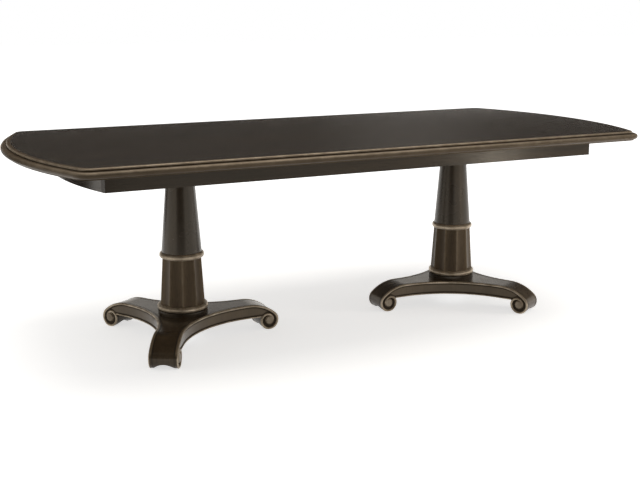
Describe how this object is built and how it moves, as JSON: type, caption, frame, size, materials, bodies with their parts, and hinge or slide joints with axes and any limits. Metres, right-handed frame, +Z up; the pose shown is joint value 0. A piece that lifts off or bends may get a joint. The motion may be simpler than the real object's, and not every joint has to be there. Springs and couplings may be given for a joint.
{
  "type": "double pedestal dining table",
  "caption": "Long dining table with bowed ends and a moulded edge on turned, part-fluted pedestals with scroll feet; it pulls apart at the middle on slides.",
  "frame": {"origin": "on the floor under the middle of the closed table", "axes": "+X along the table's length towards the half that slides, +Y from front to back, +Z up"},
  "size_m": [2.466, 1.132, 0.762],
  "materials": {
    "top_lacquer": "dark espresso lacquer, satin gloss",
    "edge_lacquer": "dark lacquer with rubbed gold on the beads",
    "base_lacquer": "dark espresso lacquer, satin",
    "gilding": "antique champagne gilding with a brown glaze",
    "bare_wood": "bare planed hardwood",
    "steel": "zinc plated steel"
  },
  "bodies": {
    "left_half": {"alignment_dowels": "bare_wood", "left_apron_back": "base_lacquer", "left_apron_end": "base_lacquer", "left_apron_front": "base_lacquer", "left_base_beads": "gilding", "left_base_plate": "steel", "left_base_screws": "steel", "left_bearer": "bare_wood", "left_collar": "base_lacquer", "left_column_lower": "base_lacquer", "left_column_upper": "base_lacquer", "left_corner_blocks": "bare_wood", "left_edge_moulding": "edge_lacquer", "left_head_plate": "bare_wood", "left_head_screws": "steel", "left_leg_back": "base_lacquer", "left_leg_front": "base_lacquer", "left_leg_inner": "base_lacquer", "left_lock_pivots": "steel", "left_low_ring": "gilding", "left_mid_ring": "gilding", "left_seam_batten": "bare_wood", "left_slide_back": "bare_wood", "left_slide_front": "bare_wood", "left_slide_screws": "steel", "left_tie_rod": "steel", "left_top_panel": "top_lacquer", "left_top_screws": "steel"},
    "back_lock": {"back_lock_lever": "steel"},
    "front_lock": {"front_lock_lever": "steel"},
    "right_half": {"right_apron_back": "base_lacquer", "right_apron_end": "base_lacquer", "right_apron_front": "base_lacquer", "right_base_beads": "gilding", "right_base_plate": "steel", "right_base_screws": "steel", "right_bearer": "bare_wood", "right_collar": "base_lacquer", "right_column_lower": "base_lacquer", "right_column_upper": "base_lacquer", "right_corner_blocks": "bare_wood", "right_edge_moulding": "edge_lacquer", "right_head_plate": "bare_wood", "right_head_screws": "steel", "right_leg_back": "base_lacquer", "right_leg_front": "base_lacquer", "right_leg_inner": "base_lacquer", "right_lock_pins": "steel", "right_low_ring": "gilding", "right_mid_ring": "gilding", "right_seam_batten": "bare_wood", "right_slide_back": "bare_wood", "right_slide_front": "bare_wood", "right_slide_screws": "steel", "right_tie_rod": "steel", "right_top_panel": "top_lacquer", "right_top_screws": "steel"},
    "slide_middle": {"slide_middle_back": "bare_wood", "slide_middle_front": "bare_wood"}
  },
  "joints": [
    {"name": "extension_slide", "type": "slide", "parent": "left_half", "child": "right_half", "axis": [1, 0, 0], "range_m": [0, 0.56]},
    {"name": "middle_slide", "type": "slide", "parent": "left_half", "child": "slide_middle", "axis": [1, 0, 0], "range_m": [0, 0.28]},
    {"name": "front_lock_swing", "type": "hinge", "parent": "left_half", "child": "front_lock", "pos_m": [-0.0352, -0.12, 0.7136], "axis": [0, 0, -1], "range_deg": [0, 90]},
    {"name": "back_lock_swing", "type": "hinge", "parent": "left_half", "child": "back_lock", "pos_m": [-0.0352, 0.12, 0.7136], "axis": [0, 0, 1], "range_deg": [0, 90]}
  ],
  "couplings": [
    {"joint": "middle_slide", "follows": "extension_slide", "ratio": 0.5}
  ]
}
